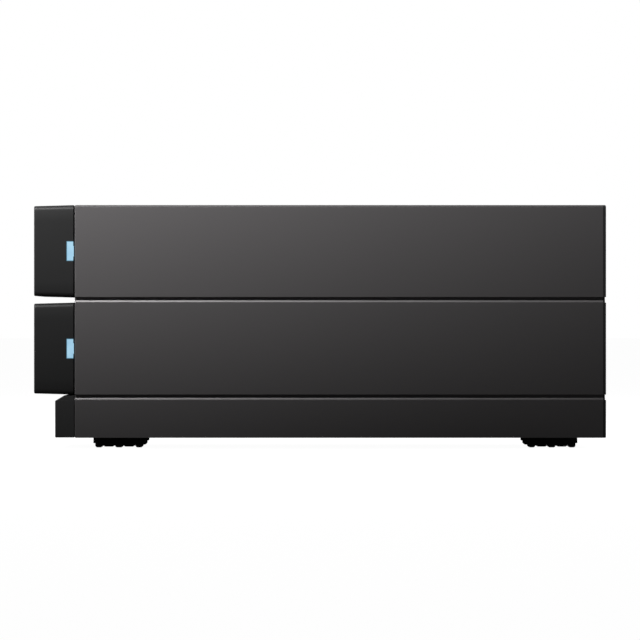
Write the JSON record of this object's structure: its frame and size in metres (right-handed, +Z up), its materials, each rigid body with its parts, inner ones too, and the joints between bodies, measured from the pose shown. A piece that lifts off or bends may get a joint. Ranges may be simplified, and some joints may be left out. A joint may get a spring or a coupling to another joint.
{
  "type": "network attached storage",
  "caption": "Desktop network storage box: grey metal sleeve in stepped tiers, black drive tray fronts with side lights, low electronics tier, rubber feet and a vented rear with sockets.",
  "frame": {"origin": "on the surface the unit stands on, under the centre of its outline", "axes": "+Z up, the tray fronts face -Y, +X to the right seen from the front"},
  "size_m": [0.118, 0.217, 0.0921],
  "materials": {
    "shell": "space grey, fine satin grain",
    "sheet_steel": "zinc plated sheet",
    "cage_steel": "black coated sheet",
    "screw": "black oxide",
    "bright_screw": "nickel plated",
    "post": "turned",
    "foot_rubber": "matt",
    "front_plastic": "fine grain, satin",
    "lever_plastic": "satin",
    "rear_plastic": "fine texture",
    "fan_plastic": "smooth",
    "rail_plastic": "natural",
    "stator": "laminations with copper winding",
    "board": "solder mask",
    "component": "moulded packages",
    "heatsink": "black anodised",
    "connector": "moulded",
    "shield": "tin plated",
    "spring_steel": "music wire",
    "lock": "nickel plated",
    "light": "clear, lit from inside",
    "casting": "machined light alloy casting",
    "cover": "stamped",
    "tray_plastic": "moulded"
  },
  "bodies": {
    "enclosure": {"enclosure_shell": "shell", "base_plate": "sheet_steel", "base_screws": "screw", "chassis_posts": "post", "foot_front_left": "foot_rubber", "foot_front_right": "foot_rubber", "foot_rear_left": "foot_rubber", "foot_rear_right": "foot_rubber", "front_fascia": "front_plastic", "power_button_spring": "spring_steel", "rear_panel": "rear_plastic", "rear_screws": "screw", "fan_frame": "fan_plastic", "fan_stator": "stator", "fan_screws": "screw", "drive_cage": "cage_steel", "backplane_board": "board", "drive_sockets": "connector", "main_board": "board", "board_slot": "connector", "board_components": "component", "heatsink": "heatsink", "network_jack_a": "shield", "network_jack_b": "shield", "usb_stack": "shield", "usb_front_socket": "shield", "power_jack": "connector", "guide_rail_lower_left": "rail_plastic", "guide_rail_lower_right": "rail_plastic", "guide_rail_upper_left": "rail_plastic", "guide_rail_upper_right": "rail_plastic"},
    "power_button": {"power_button": "lever_plastic"},
    "reset_button": {"reset_button": "connector"},
    "fan_rotor": {"fan_rotor": "fan_plastic"},
    "tray_lower": {"tray_bezel_lower": "front_plastic", "tray_frame_lower": "tray_plastic", "lever_pin_lower": "spring_steel", "lever_spring_lower": "spring_steel", "release_spring_lower": "spring_steel", "light_pipe_lower": "light", "drive_screws_lower": "bright_screw", "drive_casting_lower": "casting", "drive_cover_lower": "cover", "drive_board_lower": "board"},
    "lever_lower": {"tray_lever_lower": "lever_plastic"},
    "release_lower": {"release_button_lower": "lever_plastic"},
    "lock_lower": {"lock_barrel_lower": "lock"},
    "tray_upper": {"tray_bezel_upper": "front_plastic", "tray_frame_upper": "tray_plastic", "lever_pin_upper": "spring_steel", "lever_spring_upper": "spring_steel", "release_spring_upper": "spring_steel", "light_pipe_upper": "light", "drive_screws_upper": "bright_screw", "drive_casting_upper": "casting", "drive_cover_upper": "cover", "drive_board_upper": "board"},
    "lever_upper": {"tray_lever_upper": "lever_plastic"},
    "release_upper": {"release_button_upper": "lever_plastic"},
    "lock_upper": {"lock_barrel_upper": "lock"}
  },
  "joints": [
    {"name": "power_button_press", "type": "slide", "parent": "enclosure", "child": "power_button", "axis": [0, 1, 0], "range_m": [0, 0.0012], "stiffness_N_per_m": 300, "springref_m": -0.0015, "deforming": ["power_button_spring"]},
    {"name": "reset_press", "type": "slide", "parent": "enclosure", "child": "reset_button", "axis": [0, -1, 0], "range_m": [0, 0.0005], "stiffness_N_per_m": 400, "springref_m": -0.0005},
    {"name": "fan_spin", "type": "hinge", "parent": "enclosure", "child": "fan_rotor", "pos_m": [0, 0.094, 0.0575], "axis": [0, 1, 0], "continuous": true},
    {"name": "tray_slide_lower", "type": "slide", "parent": "enclosure", "child": "tray_lower", "axis": [0, -1, 0], "range_m": [0, 0.158]},
    {"name": "lever_hinge_lower", "type": "hinge", "parent": "tray_lower", "child": "lever_lower", "pos_m": [-0.0468, -0.1058, 0.03765], "axis": [0, 0, -1], "range_deg": [0, 50]},
    {"name": "release_press_lower", "type": "slide", "parent": "tray_lower", "child": "release_lower", "axis": [0, 1, 0], "range_m": [0, 0.0015], "stiffness_N_per_m": 400, "springref_m": -0.002, "deforming": ["release_spring_lower"]},
    {"name": "lock_turn_lower", "type": "hinge", "parent": "tray_lower", "child": "lock_lower", "pos_m": [0.051, -0.1, 0.03765], "axis": [0, 1, 0], "range_deg": [0, 90]},
    {"name": "tray_slide_upper", "type": "slide", "parent": "enclosure", "child": "tray_upper", "axis": [0, -1, 0], "range_m": [0, 0.158]},
    {"name": "lever_hinge_upper", "type": "hinge", "parent": "tray_upper", "child": "lever_upper", "pos_m": [-0.0468, -0.1058, 0.07465], "axis": [0, 0, -1], "range_deg": [0, 50]},
    {"name": "release_press_upper", "type": "slide", "parent": "tray_upper", "child": "release_upper", "axis": [0, 1, 0], "range_m": [0, 0.0015], "stiffness_N_per_m": 400, "springref_m": -0.002, "deforming": ["release_spring_upper"]},
    {"name": "lock_turn_upper", "type": "hinge", "parent": "tray_upper", "child": "lock_upper", "pos_m": [0.051, -0.1, 0.07465], "axis": [0, 1, 0], "range_deg": [0, 90]}
  ]
}
